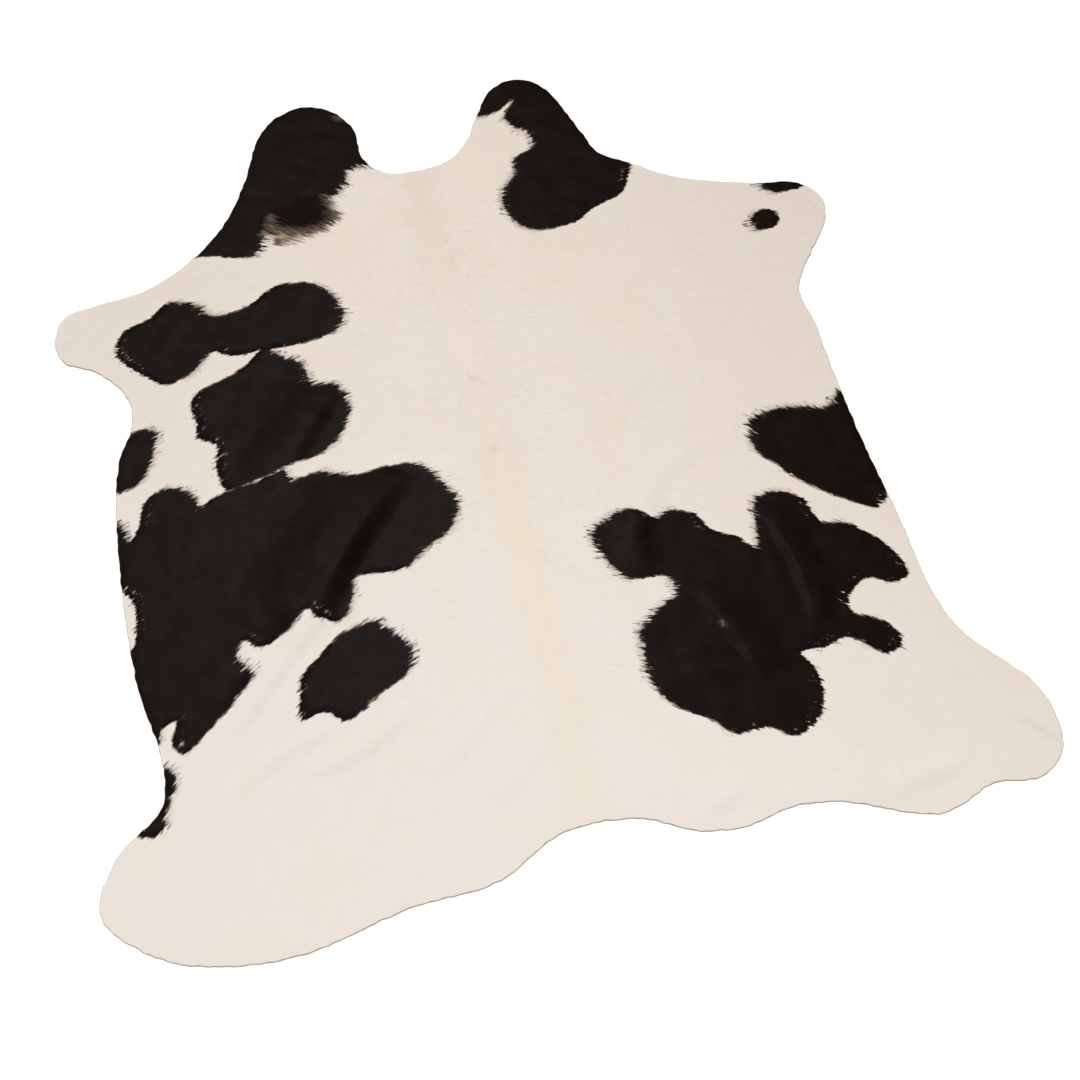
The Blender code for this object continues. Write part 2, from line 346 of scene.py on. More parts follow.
class Look:
    """A material, and the few kinds of node that the hide's finishes are made of."""

    def __init__(self, name, roughness, specular, sheen=0.0):
        self.material = bpy.data.materials.new(name)
        self.material.use_nodes = True
        self.shader = self.material.node_tree.nodes["Principled BSDF"]
        self.shader.inputs["Roughness"].default_value = roughness
        self.shader.inputs["Specular IOR Level"].default_value = specular
        self.shader.inputs["Sheen Weight"].default_value = sheen

    def add(self, kind, settings=None, sockets=None):
        """A node of this kind: first its settings, then the values or links of its sockets."""
        node = self.material.node_tree.nodes.new("ShaderNode" + kind)
        for name, setting in (settings or {}).items():
            setattr(node, name, setting)
        for name, value in (sockets or {}).items():
            self.feed(node.inputs[name], value)
        return node

    def feed(self, socket, value):
        """Links a value to a socket, or sets a plain number or colour on it."""
        if isinstance(value, Value):
            value = value.socket
        if isinstance(value, bpy.types.NodeSocket):
            self.material.node_tree.links.new(value, socket)
        else:
            socket.default_value = value

    def math(self, operation, *numbers):
        """A Math node that works on values or plain numbers."""
        node = self.add("Math", {"operation": operation}, dict(enumerate(numbers)))
        return Value(self, node.outputs[0])

    def attribute(self, name):
        return Value(self, self.add("Attribute", {"attribute_name": name}).outputs["Fac"])

    def attribute_vector(self, name):
        return self.add("Attribute", {"attribute_name": name}).outputs["Vector"]

    def noise(self, size, detail=2.0):
        """Noise about 0.5 that is fixed to the hide, with lumps of this size in metres."""
        place = self.add("TexCoord").outputs["Object"]
        scale = (1 / size,) * 3
        scaled = self.add("VectorMath", {"operation": "MULTIPLY"}, {0: place, 1: scale}).outputs[0]
        node = self.add("TexNoise", {}, {"Vector": scaled, "Scale": 1.0, "Detail": detail})
        return Value(self, node.outputs[0])

    def between(self, value, low, high):
        """0 below low, 1 above high, and a smooth step between them."""
        sockets = {"Value": value, "From Min": low, "From Max": high}
        node = self.add("MapRange", {"interpolation_type": "SMOOTHSTEP"}, sockets)
        return Value(self, node.outputs[0])

    def mixed(self, share, one, other):
        """One colour, going over to the other as the share goes from 0 to 1."""
        node = self.add("Mix", {"data_type": "RGBA"}, {"Factor": share, 6: one, 7: other})
        return node.outputs[2]

    def bump(self, height, metres):
        """The surface's normal under a relief of that height, in metres, times the value."""
        node = self.add("Bump", {}, {"Height": height, "Distance": metres, "Strength": 1.0})
        self.feed(self.shader.inputs["Normal"], node.outputs["Normal"])


SUEDE = (0.52, 0.36, 0.25, 1.0)
SUEDE_DARK = (0.38, 0.25, 0.165, 1.0)
SUEDE_NAP = 1.6 * MM
SUEDE_NAP_RELIEF = 0.4 * MM
SUEDE_CLOUD = 9 * CM


def suede_look():
    """Pale tan flesh side: fine nap, with broad darker clouds where the hide is thinner."""
    look = Look("suede", roughness=0.92, specular=0.2, sheen=0.25)
    nap = look.noise(SUEDE_NAP, detail=3.0)
    dark_share = look.noise(SUEDE_CLOUD, detail=4.0) * 0.7 + nap * 0.4 - 0.1
    look.feed(look.shader.inputs["Base Color"], look.mixed(dark_share, SUEDE, SUEDE_DARK))
    look.bump(nap, SUEDE_NAP_RELIEF)
    return look.material


leather_xy, leather_cells, _, _ = lattice_cut_along(rim, LEATHER_CELL)
leather_places = np.column_stack([leather_xy, crease_height(leather_xy[:, 0], leather_xy[:, 1])])
leather = new_piece("leather", leather_places, leather_cells.tolist(), suede_look(), plan=leather_xy)
body_of_leather = leather.modifiers.new("thickness", "SOLIDIFY")
body_of_leather.thickness = LEATHER_THICKNESS
body_of_leather.offset = 1.0

# ------------------------------ The coat
# The hair is left on the hide: short, close and lying flat, outwards from the spine, towards the
# tail over the back and flanks and towards the head on the neck. It is cream white with black
# patches, whose edges fray where one colour's hair lies over the other's.

COAT_THICKNESS = 2.0 * MM
COAT_THIN_AT_RIM = 0.7 * MM
COAT_THINS_WITHIN = 16 * MM
COAT_SET_BACK = 0.9 * MM

# A low swelling runs along each side of the parting, and flat uneven waves run all over.
SWELLING_HEIGHT = 0.45 * MM
SWELLING_FROM_BACK = 6 * CM
SWELLING_WIDTH = 2.6 * CM
PARTING_DEPTH = 0.35 * MM
PARTING_DIP_WIDTH = 2.4 * CM
SWELLING_ENDS_WITHIN = 3.5 * CM
WAVE_HEIGHT = 0.22 * MM
WAVE_COUNT = 30
LONGEST_WAVE = 14 * CM
SHORTEST_WAVE = 4 * CM

# The patches, by their corners in centimetres across and along the hide. What lies past the rim
# is only there to take a patch over it.
PATCHES = {
    "left neck": (
        (-16, 86), (-21, 85.5), (-23, 81), (-26, 78), (-31, 79.5), (-38, 78), (-45, 75.5), (-46.2, 72),
        (-45.5, 67.5), (-48.5, 63.6),
        (-53, 63.8), (-58, 65.2), (-63, 66.2), (-70, 66), (-62, 82), (-50, 102), (-38, 113), (-22, 113),
        (-12, 102), (-13, 90)),
    "right neck": (
        (14, 96.5), (19, 96.7), (24.5, 99.7), (21, 94.5), (22.5, 91), (26.2, 87), (26, 83.3), (20.5, 80),
        (19.5, 75.5), (15.5, 70.5), (14.7, 65), (16.5, 60), (20, 56.5), (30, 56.2), (37, 60), (45, 63.4),
        (48.5, 69.5), (50, 72), (56, 78), (48, 92), (42, 106), (28, 112), (14, 107)),
    "right foreleg rim": ((80, 58.2), (82.5, 55), (87, 54.5), (91, 55.3), (91, 60), (81, 61)),
    "right foreleg": ((74.5, 45.5), (75.5, 48.7), (79.5, 50), (81.8, 46.5), (79, 43.8), (76, 43.8)),
    "left shoulder": (
        (-84.5, 41), (-82.5, 47), (-75, 50.5), (-71, 53.8), (-64.5, 51.5), (-61, 47.7), (-52, 48.7),
        (-44, 53), (-36, 52), (-31.5, 47.5), (-29.8, 40), (-33, 36.3), (-42, 34.8), (-50, 35), (-58, 35),
        (-61.8, 37), (-68, 31.8), (-74, 30), (-79, 34)),
    "left ribs": (
        (-50, 35.5), (-54, 32), (-59, 29.3), (-66, 26.5), (-69, 23), (-68, 18), (-68.3, 14), (-64.3, 10.5),
        (-65, 5), (-63.5, -1.5), (-56, -0.7), (-49.5, 1.1), (-40, 3.7), (-34.5, 9), (-32.5, 16), (-34.5, 21),
        (-40, 23), (-42, 29.5), (-46, 32.3)),
    "left flank": (
        (-92, -5.5), (-88, -5.5), (-86.5, -10.5), (-84, -7), (-82, -1), (-77.5, 1.7), (-72, -0.5),
        (-70, -4.8), (-66.5, -3), (-63, -1.9), (-56, -1.1), (-50.5, 0.6), (-48, -2.3), (-42.5, -1.6),
        (-35, -4.3), (-27, -3.7), (-20, -4.5), (-14.5, -11.5), (-12.7, -17), (-16, -23.5), (-21.5, -26.3),
        (-27, -30.3), (-38, -30.3), (-40.3, -36), (-43, -39.7), (-48, -38), (-50, -35.8), (-56, -40.7),
        (-62, -42), (-64.5, -39.8), (-66.5, -44), (-63.5, -48), (-68, -53.3), (-74.5, -59), (-80, -63),
        (-82.3, -60), (-81, -55.5), (-84, -56.5), (-85.5, -60), (-92, -60)),
    "left flank rim": (
        (-92, 3), (-87, 2.8), (-82.5, 4.7), (-79.5, 10), (-77.8, 17), (-80, 18.9), (-84.5, 17.8), (-92, 16)),
    "left thigh": (
        (-54.5, -56), (-53.5, -51.5), (-49.5, -47.5), (-43.5, -43), (-36, -41.8), (-32.5, -45), (-29.2, -50),
        (-31, -55), (-38, -58.8), (-45.5, -63), (-50, -60), (-55, -60.7)),
    "left hock": (
        (-87, -65.5), (-83.8, -65.6), (-82.5, -69), (-85, -75), (-86.5, -78.8), (-92, -78), (-90, -70)),
    "right flank rim": (
        (84, -6), (80, -7.3), (76, -10), (71, -8.7), (63.5, -8), (58, -10), (56.5, -17), (60.5, -23),
        (65, -28.3), (71, -33.5), (79.5, -38.5), (82, -36.5), (86, -35), (87, -8)),
    "right hip": (
        (14.2, -31.5), (15.5, -37), (20, -44), (27.5, -45), (29.2, -49), (25, -52), (19, -56.5), (18.5, -62),
        (18.3, -68), (22, -75), (29, -80), (32.5, -83.7), (40, -83.8), (45, -87), (50.5, -84.5),
        (53.5, -79.5), (53.5, -73), (51.5, -69), (57, -68.8), (63, -67.7), (69.5, -73), (74, -71.5),
        (72, -66), (65.5, -62), (66.5, -58), (71.5, -55), (76, -57), (80.8, -56), (79.5, -50.5),
        (75.5, -44.5), (71, -40.6), (65.5, -39), (63, -32), (57, -29.3), (52.5, -31), (51, -38),
        (49.5, -42.2), (46, -39), (40.5, -35.5), (38, -31), (33, -29), (29.5, -30.2), (24, -26.8),
        (19, -27.5)),
}
WHITE_RIM_SLIVER = ((-92, -37), (-88.3, -36.5), (-86.8, -29), (-88.3, -23.5), (-92, -23))

# Low on the left neck the black fades away from a dark core, through grey to tan.
FADED_PATCH = (
    (-48, 77), (-47.2, 70.4), (-45.4, 69.2), (-43.8, 67.9), (-44, 66.2), (-43, 64.6), (-39, 65.2), (-35, 66),
    (-30, 67.4), (-27, 69.5), (-25.2, 71.2), (-26.6, 74.5), (-27.5, 79), (-34, 82), (-43, 80))
FADED_CORE = (
    (-42.5, 82), (-42, 75), (-41, 72.5), (-38, 70.6), (-33, 70), (-29.8, 71.6), (-29.6, 75), (-31, 82))

# How far from its curve a patch's depth is worked out. By the black the faded hair is dark too.
PATCH_REACH = 4 * CM
FADED_REACH = 9 * CM
DARK_BY_BLACK = 3 * MM

# Small worn or scarred places: their middle in centimetres, their half length and half width, the
# way they run, and how far they fade the hair.
Scar = namedtuple("Scar", "place across_cm along_cm half_length_cm half_width_cm turn_deg share")
SCARS = (
    Scar("right hip", 37.5, -59, 1, 0.35, -65, 0.4),
    Scar("left neck rim", -21.5, 104, 1.3, 0.9, -40, 0.3),
    Scar("spine, left of it", -3.2, 16, 1.5, 0.6, -60, 0.6),
    Scar("spine, right of it", -0.8, 14.2, 1.9, 0.35, -62, 0.45),
    Scar("spine, loin", -2, -4.5, 1.4, 1, 60, 0.3),
)

# The line of the back, which the hair parts along.
Back = namedtuple("Back", "place along_cm across_cm")
BACK_LINE = (
    Back("tail root", -100, -0.5),
    Back("rump", -60, -0.8),
    Back("loin", -20, -1.5),
    Back("ribs", 15, -2.5),
    Back("withers", 45, -4),
    Back("neck notch", 85, -5.5),
)

# How the hair lies at some places: the angle by which it falls towards the tail from straight
# outwards, or rises towards the head where it is negative.
Fall = namedtuple("Fall", "place across_cm along_cm fall_deg")
FALLS = (
    Fall("left neck, by the notch", -21, 82, -52),
    Fall("left neck, middle", -33, 74, -44),
    Fall("left neck, outer side", -47, 69, -16),
    Fall("left neck lobe", -35, 98, -25),
    Fall("left foreleg", -90, 46, 0),
    Fall("left shoulder, outer end", -84, 41, -6),
    Fall("left shoulder", -62, 46, 19),
    Fall("left elbow", -71, 25, 26),
    Fall("left ribs", -45, 14, 14),
    Fall("left side of the loin", -16, -14, -3),
    Fall("left flank, middle", -47, -37, 28),
    Fall("left flank, groin", -66, -47, 33),
    Fall("left flank, rim", -84, -56, 42),
    Fall("left thigh", -31, -48, 22),
    Fall("left hind leg", -75, -88, 40),
    Fall("left rump", -20, -85, 45),
    Fall("right neck, inner side", 23, 93, -36),
    Fall("right neck, root", 31, 55, -15),
    Fall("right neck, by the back", 15, 65, 20),
    Fall("right shoulder", 47, 61, 0),
    Fall("right foreleg", 84, 47, 5),
    Fall("right ribs", 40, 15, 25),
    Fall("right flank, upper end", 60, -11, 48),
    Fall("right flank, rim", 79, -8, 54),
    Fall("right flank, lower edge", 66, -29, 28),
    Fall("right side of the loin", 14, -32, 26),
    Fall("right hip, inner side", 27, -48, 4),
    Fall("right hip, outer side", 76, -56, 34),
    Fall("right hind leg", 80, -90, 40),
    Fall("right rump", 20, -85, 45),
)
FALL_REACH = 13 * CM
FALL_ELSEWHERE_DEG = 18.0
FALL_ELSEWHERE_WEIGHT = 0.02
PARTING_WIDTH = 1.5 * CM
PARTED = 3 * MM
BACK_HAIR_WIDTH = 4.5 * CM
BACK_HAIR_PULL = 1.6
CROWN_ALONG = 52 * CM
CROWN_WIDTH = 8 * CM
FOLLOWING_STEP = 8 * MM
FOLLOWING_STEPS = 190
FANS = (-1, 0, 1, 2, 3)
FLATTEST_FAN = 0.05
LAST_CELL = 1.001
random = np.random.default_rng(7)


def smooth_step(value, low, high):
    """0 below low, 1 above high, and 3t^2 - 2t^3 between them."""
    t = np.clip((value - low) / (high - low), 0.0, 1.0)
    return t * t * (3 - 2 * t)


def from_back(x, y):
    """How far a place lies to the right of the line of the back."""
    along = np.array([row.along_cm for row in BACK_LINE]) * CM - middle[1]
    across = np.array([row.across_cm for row in BACK_LINE]) * CM - middle[0]
    return x - np.interp(y, along, across)


def hair_way(x, y):
    """The way in which the hair lies, as a unit vector.

    Its fall is the mean of the table's rows, each weighted by a bell of its distance. Beside the
    back it turns along the back: towards the tail, and towards the head beyond the crown.
    """
    total = np.full(np.shape(x), FALL_ELSEWHERE_WEIGHT)
    fall = total * FALL_ELSEWHERE_DEG
    for row in FALLS:
        gap = np.hypot(x - row.across_cm * CM + middle[0], y - row.along_cm * CM + middle[1])
        weight = np.exp(-0.5 * (gap / FALL_REACH) ** 2)
        total += weight
        fall += weight * row.fall_deg
    fall = np.radians(fall / total)
    out = from_back(x, y)
    along_back = BACK_HAIR_PULL * np.exp(-(out / BACK_HAIR_WIDTH) ** 2)
    along_back = along_back * np.tanh((CROWN_ALONG - y) / CROWN_WIDTH)
    way_x = np.tanh(out / PARTING_WIDTH) * np.cos(fall)
    way_y = -np.sin(fall) - along_back
    size = np.hypot(way_x, way_y)
    return way_x / size, way_y / size


def waves(x, y, count, longest, shortest):
    """A sum of sine waves of random direction and length, about as high as 1."""
    height = np.zeros(np.shape(x))
    for _ in range(count):
        turn, phase = random.uniform(0.0, 2 * np.pi, 2)
        length = random.uniform(shortest, longest)
        height += np.sin((np.cos(turn) * x + np.sin(turn) * y) * 2 * np.pi / length + phase)
    return height / np.sqrt(count / 2)


def outline_of(corners):
    """The smooth curve through a patch's corners, in metres about the hide's middle."""
    return smooth_closed_curve(np.array(corners, dtype=float) * CM, CURVE_STEP) - middle


def sampled(field, x, y):
    """A field at any places on the grid, blended from the four points round each."""
    column = np.clip((x - column_x[0]) / GRID_STEP, 0, len(column_x) - LAST_CELL)
    row = np.clip((y - row_y[0]) / GRID_STEP, 0, len(row_y) - LAST_CELL)
    c, r = column.astype(int), row.astype(int)
    right, up = column - c, row - r
    lower = field[r, c] * (1 - right) + field[r, c + 1] * right
    upper = field[r + 1, c] * (1 - right) + field[r + 1, c + 1] * right
    return lower * (1 - up) + upper * up


def followed_to_back():
    """Follows each grid point's line of hair up to the parting, which stops it.

    Gives where along the back the line starts, and how long it is to there.
    """
    x, y, run = grid_x.copy(), grid_y.copy(), np.zeros(grid_x.shape)
    for _ in range(FOLLOWING_STEPS):
        step = FOLLOWING_STEP * smooth_step(np.abs(from_back(x, y)), PARTED, 4 * PARTED)
        x, y = x - step * sampled(way_x, x, y), y - step * sampled(way_y, x, y)
        run += step
    return y, run


rim_depth = depth_in(rim, PATCH_REACH)
black_depth = np.max([depth_in(outline_of(patch), PATCH_REACH) for patch in PATCHES.values()], axis=0)
black_depth = np.minimum(black_depth, -depth_in(outline_of(WHITE_RIM_SLIVER), PATCH_REACH))
faded_depth = depth_in(outline_of(FADED_PATCH), PATCH_REACH)
core_depth = np.maximum(depth_in(outline_of(FADED_CORE), FADED_REACH), black_depth + DARK_BY_BLACK)
out_from_back = from_back(grid_x, grid_y)
way_x, way_y = hair_way(grid_x, grid_y)
line_start, line_run = followed_to_back()

# How often the gap between the lines of hair has doubled since they left the back.
start_y, start_x = np.gradient(line_start, GRID_STEP)
fan = np.clip(-np.log2(np.hypot(start_x, start_y) + FLATTEST_FAN), FANS[0], FANS[-1])

# How far the hair runs into the black for each step along it: -1 where it leaves it head on.
black_depth_y, black_depth_x = np.gradient(black_depth, GRID_STEP)
black_drag = black_depth_x * way_x + black_depth_y * way_y

# The coat is thickest beside the back, where its hair is longest, and thins towards the rim.
fullness = 1 - COAT_THIN_AT_RIM / COAT_THICKNESS * (1 - smooth_step(rim_depth, 0.0, COAT_THINS_WITHIN))
beside_back = np.exp(-((np.abs(out_from_back) - SWELLING_FROM_BACK) / SWELLING_WIDTH) ** 2)
parting = np.exp(-(out_from_back / PARTING_DIP_WIDTH) ** 2)
off_rim = smooth_step(rim_depth, 0.0, SWELLING_ENDS_WITHIN)
coat_height = crease_height(grid_x, grid_y) + LEATHER_THICKNESS + COAT_THICKNESS * fullness
coat_height += (SWELLING_HEIGHT * beside_back - PARTING_DEPTH * parting) * off_rim
coat_height += WAVE_HEIGHT * waves(grid_x, grid_y, WAVE_COUNT, LONGEST_WAVE, SHORTEST_WAVE) * fullness

WHITE_HAIR = (0.680, 0.629, 0.578, 1.0)
CREAM_HAIR = (0.668, 0.593, 0.506, 1.0)
PINKISH_HAIR = (0.668, 0.602, 0.552, 1.0)
BELLY_HAIR = (0.612, 0.542, 0.476, 1.0)
BLACK_HAIR = (0.0040, 0.0018, 0.0009, 1.0)
BROWN_BLACK_HAIR = (0.0064, 0.0034, 0.0019, 1.0)
BROWN_HAIR = (0.115, 0.065, 0.040, 1.0)
TAN_HAIR = (0.40, 0.28, 0.185, 1.0)
GREY_HAIR = (0.078, 0.055, 0.040, 1.0)
SCAR_HAIR = (0.30, 0.255, 0.215, 1.0)
WHITE_ROUGHNESS = (0.66, 0.66, 0.66, 1.0)
BLACK_ROUGHNESS = (0.40, 0.40, 0.40, 1.0)
HAIR_SPECULAR = 0.026

# The hair along the back is yellower or greyer than the rest, from the neck to the tail.
BackHair = namedtuple("BackHair", "place along_cm red green blue")
BACK_HAIR = (
    BackHair("neck notch", 80.0, 0.635, 0.558, 0.479),
    BackHair("withers", 50.0, 0.650, 0.577, 0.492),
    BackHair("ribs", 26.0, 0.690, 0.612, 0.542),
    BackHair("behind the ribs", 8.0, 0.662, 0.590, 0.512),
    BackHair("loin", -6.0, 0.670, 0.600, 0.500),
    BackHair("rump", -24.0, 0.690, 0.605, 0.480),
    BackHair("hip", -45.0, 0.690, 0.608, 0.498),
    BackHair("tail root", -90.0, 0.665, 0.607, 0.518),
)

LOCK_LENGTH = 40 * MM
LOCK_WIDTH = 6.5 * MM
HAIR_LENGTH = 26 * MM
HAIR_WIDTH = 3 * MM
HAIR_RELIEF = 0.5 * MM
TUFT = 35 * MM
TUFT_WANDERS = 7 * MM
SIDES_APART = 3.0

# The back's tint ends here on average. Its edge wanders with the clouds and streaks.
CLOUD = 6 * CM
BROAD_CLOUD = 17 * CM
BACK_TINT_ENDS = 7 * CM
TINT_CLOUDED = 10 * CM
TINT_STREAKED = 8 * CM
BELLY_FROM_BACK = 1.1

# How far the locks, the hairs and the lumps shift a patch's edge.
FRAY_BY_LOCKS = 38 * MM
FRAY_BY_HAIRS = 66 * MM
UNEVEN_BY_LUMPS = 12 * MM
LUMP = 20 * MM
TANGLE = 11 * MM
RUSSET_CLOUD = 4 * CM
OFF_PARTING = 5 * CM

# The depths in a patch between which one colour goes over to the next.
TAN_TO_GREY = (-52 * MM, -20 * MM)
GREY_TO_BLACK = (-20 * MM, 8 * MM)
WHITE_TO_FADED = (-9 * MM, 15 * MM)
WHITE_TO_BROWN = (-3.4 * MM, 0.6 * MM)
WHITE_TO_BLACK = (-2.8 * MM, 3.4 * MM)
BROWN_TO_BLACK = (0.5 * MM, 5.5 * MM)


def combed(look, length, width, detail):
    """A noise drawn out into streaks that follow the hair everywhere.

    It is a noise of where a hair's line leaves the back, and of how far the hair is along it. Where
    the lines fan out, the noise is made finer, by one of five blended steps, to keep its width.
    """
    line = look.attribute_vector("hair_line")
    fan_here = look.attribute("fan")
    tufts = look.noise(TUFT)
    aside = look.add("CombineXYZ", {}, {"X": (tufts - 0.5) * (TUFT_WANDERS / width)}).outputs[0]
    blend = 0.0
    squares = 0.0001
    for step in FANS:
        scale = (2.0 ** step / width, 1 / length, SIDES_APART + step)
        drawn_out = look.add("VectorMath", {"operation": "MULTIPLY_ADD"}, {0: line, 1: scale, 2: aside})
        noise_sockets = {"Vector": drawn_out.outputs[0], "Scale": 1.0, "Detail": detail}
        noise = look.add("TexNoise", {}, noise_sockets)
        weight = (1 - (fan_here - step).worked("ABSOLUTE")).worked("MAXIMUM", 0.0)
        blend = weight * (Value(look, noise.outputs[0]) - 0.5) + blend
        squares = weight * weight + squares
    return blend / squares.worked("SQRT") + 0.5


def hair_colours(look, streaks):
    """The white and the black hair's colours, with their clouds and streaks and the yellower back."""
    broad_cloud = look.noise(BROAD_CLOUD)
    cloud = look.noise(CLOUD)
    from_middle = look.attribute("from_back").worked("ABSOLUTE")
    wander = (cloud - 0.5) * TINT_CLOUDED + (streaks - 0.5) * TINT_STREAKED
    near_back = 1 - look.between(from_middle + wander, 0.0, BACK_TINT_ENDS)
    creamy = look.attribute("creamy") + (broad_cloud - 0.5) * 1.3 + (streaks - 0.5) * 0.9
    white = look.mixed(creamy.worked("MINIMUM", 1.0).worked("MAXIMUM", 0.0), WHITE_HAIR, CREAM_HAIR)
    white = look.mixed(look.between(cloud, 0.48, 0.75) * 0.35, white, PINKISH_HAIR)
    # Towards the belly, away from the back, the white hair goes darker, and more so towards the right of the
    # head.
    belly = look.between(from_middle, 0.0, BELLY_FROM_BACK) * (look.attribute("creamy") * 0.8 + 0.2)
    white = look.mixed(belly, white, BELLY_HAIR)
    white = look.mixed(near_back * 0.85, white, look.attribute_vector("back_hair"))
    brownish = look.between(cloud + (streaks - 0.5) * 1.2, 0.3, 0.8)
    black = look.mixed(brownish, BLACK_HAIR, BROWN_BLACK_HAIR)
    return white, black


def coat_look():
    """Hair by hair colour and relief, with the patches' edges frayed along the hair."""
    look = Look("cow_hair", roughness=0.6, specular=HAIR_SPECULAR)
    streaks = combed(look, HAIR_LENGTH, HAIR_WIDTH, detail=2.0)
    lock_streaks = combed(look, LOCK_LENGTH, LOCK_WIDTH, detail=1.0)
    white, black = hair_colours(look, streaks * 0.5 + lock_streaks * 0.5)
    tangle = look.noise(TANGLE) - 0.5
    fray = (lock_streaks - 0.5) * FRAY_BY_LOCKS + (streaks - 0.5) * FRAY_BY_HAIRS
    unevenness = (look.noise(LUMP) - 0.5) * UNEVEN_BY_LUMPS

    darkness = look.attribute("core_depth") + fray + unevenness
    faded = look.mixed(look.between(darkness, *TAN_TO_GREY), TAN_HAIR, GREY_HAIR)
    faded = look.mixed(look.between(darkness, *GREY_TO_BLACK), faded, BROWN_BLACK_HAIR)
    is_faded = look.between(look.attribute("faded_depth") + fray * 0.6 + unevenness, *WHITE_TO_FADED)
    colour = look.mixed(is_faded, white, faded)

    # The fray reaches furthest where the hair crosses the edge head on, and is softest there.
    drag = look.attribute("black_drag")
    depth = look.attribute("black_depth") - (drag + tangle * 1.2) * fray + unevenness
    depth = depth / (drag.worked("ABSOLUTE") * 1.2 + 1)
    is_black = look.between(depth, *WHITE_TO_BLACK)
    russet = look.between(look.noise(RUSSET_CLOUD), 0.42, 0.68)
    on_white = 1 - is_faded
    colour = look.mixed(look.between(depth, *WHITE_TO_BROWN) * on_white * 0.6, colour, BROWN_HAIR)
    by_edge = (1 - look.between(depth, *BROWN_TO_BLACK)) * on_white
    black = look.mixed(by_edge * russet * 0.7, black, BROWN_HAIR)
    colour = look.mixed(is_black, colour, black)
    scarred = look.attribute("scar") * look.between(streaks, 0.30, 0.55)
    colour = look.mixed(scarred, colour, SCAR_HAIR)

    look.feed(look.shader.inputs["Base Color"], colour)
    look.feed(look.shader.inputs["Roughness"], look.mixed(is_black, WHITE_ROUGHNESS, BLACK_ROUGHNESS))
    # The black hair is sleeker, and so is the hair that lies along the parting.
    off_parting = look.between(look.attribute("from_back").worked("ABSOLUTE"), 0.0, OFF_PARTING)
    relief = (streaks + lock_streaks - 1) * (1 - is_black * 0.55) * (off_parting * 0.75 + 0.25)
    look.bump(relief, HAIR_RELIEF)
    return look.material


def scar_share(x, y):
    """Each small scar fades out as a bell over its half length and half width."""
    share = np.zeros(np.shape(x))
    for scar in SCARS:
        turn = np.radians(scar.turn_deg)
        right, up = x - scar.across_cm * CM + middle[0], y - scar.along_cm * CM + middle[1]
        along = (right * np.cos(turn) + up * np.sin(turn)) / (scar.half_length_cm * CM)
        across = (up * np.cos(turn) - right * np.sin(turn)) / (scar.half_width_cm * CM)
        share += scar.share * np.exp(-(along ** 2 + across ** 2))
    return np.clip(share, 0.0, 1.0)


# The hair gets creamier from the left of the tail to the right of the head.
CREAMY_SLANT = 0.7
CREAMY_REACH = 1.3


def hair_values(x, y):
    """What the hair's materials read at each point."""
    side = 0.5 * np.sign(from_back(x, y))
    along = [row.along_cm * CM - middle[1] for row in reversed(BACK_HAIR)]
    tints = [(row.red, row.green, row.blue) for row in reversed(BACK_HAIR)]
    return {
        "hair_line": np.column_stack([sampled(line_start, x, y), sampled(line_run, x, y), side]),
        "fan": sampled(fan, x, y),
        "from_back": from_back(x, y),
        "creamy": smooth_step(y + CREAMY_SLANT * x, -CREAMY_REACH, CREAMY_REACH),
        "back_hair": np.column_stack([np.interp(y, along, tint) for tint in zip(*tints)]),
    }


# The rolled rim: a quarter turn outwards and down to the leather's top, then in and just into it.
RIM_ROLL = 2.0 * MM
ROLL_STEPS = 5
TUCKED_OUT = 0.7
TUCKED_DOWN = 1.15
turn = np.linspace(0.0, np.pi / 2, ROLL_STEPS + 1)[1:]
roll_out = np.concatenate([np.sin(turn), [TUCKED_OUT]])
roll_down = np.concatenate([1 - np.cos(turn), [TUCKED_DOWN]])
coat_border = rim - rim_outward * (COAT_SET_BACK + RIM_ROLL)
coat_xy, coat_cells, outer, at_rim = lattice_cut_along(coat_border, 1)
coat_z = sampled(coat_height, *coat_xy.T)
rim_lift = crease_height(*rim[at_rim].T)
rim_top = coat_z[outer]
rolled_xy = coat_border[at_rim][None] + rim_outward[at_rim][None] * (roll_out * RIM_ROLL)[:, None, None]
rolled_z = rim_top[None] - (rim_top - rim_lift - LEATHER_THICKNESS)[None] * roll_down[:, None]
rolled = np.concatenate([rolled_xy, rolled_z[:, :, None]], axis=2)
unrolled = np.linspace(1, ROLL_STEPS + 1, ROLL_STEPS + 1) * RIM_ROLL * 0.5
rolled_plan = coat_border[at_rim][None] + rim_outward[at_rim][None] * unrolled[:, None, None]

rows = np.vstack([outer, len(coat_xy) + np.arange(rolled[:, :, 0].size).reshape(rolled.shape[:2])])
after = np.roll(rows, -1, axis=1)
strip = np.stack([rows[:-1], after[:-1], after[1:], rows[1:]], axis=-1).reshape(-1, 4)
coat_places = np.vstack([np.column_stack([coat_xy, coat_z]), rolled.reshape(-1, 3)])
coat_plan = np.vstack([coat_xy, rolled_plan.reshape(-1, 2)])
coat_x, coat_y, _ = coat_places.T
coat_values = {
    **hair_values(coat_x, coat_y),
    "black_depth": sampled(black_depth, coat_x, coat_y),
    "black_drag": sampled(black_drag, coat_x, coat_y),
    "faded_depth": sampled(faded_depth, coat_x, coat_y),
    "core_depth": sampled(core_depth, coat_x, coat_y),
    "scar": scar_share(coat_x, coat_y),
}
coat = new_piece(
    "coat", coat_places, np.vstack([coat_cells, strip]).tolist(), coat_look(), values=coat_values,
    plan=coat_plan)

# ------------------------------ The hair that stands proud
# Some hair lies on top of the rest in thin pointed locks: loose ones all over, longer ones beside
# the back, and at the patches' edges clumps that carry each colour out over its neighbour.


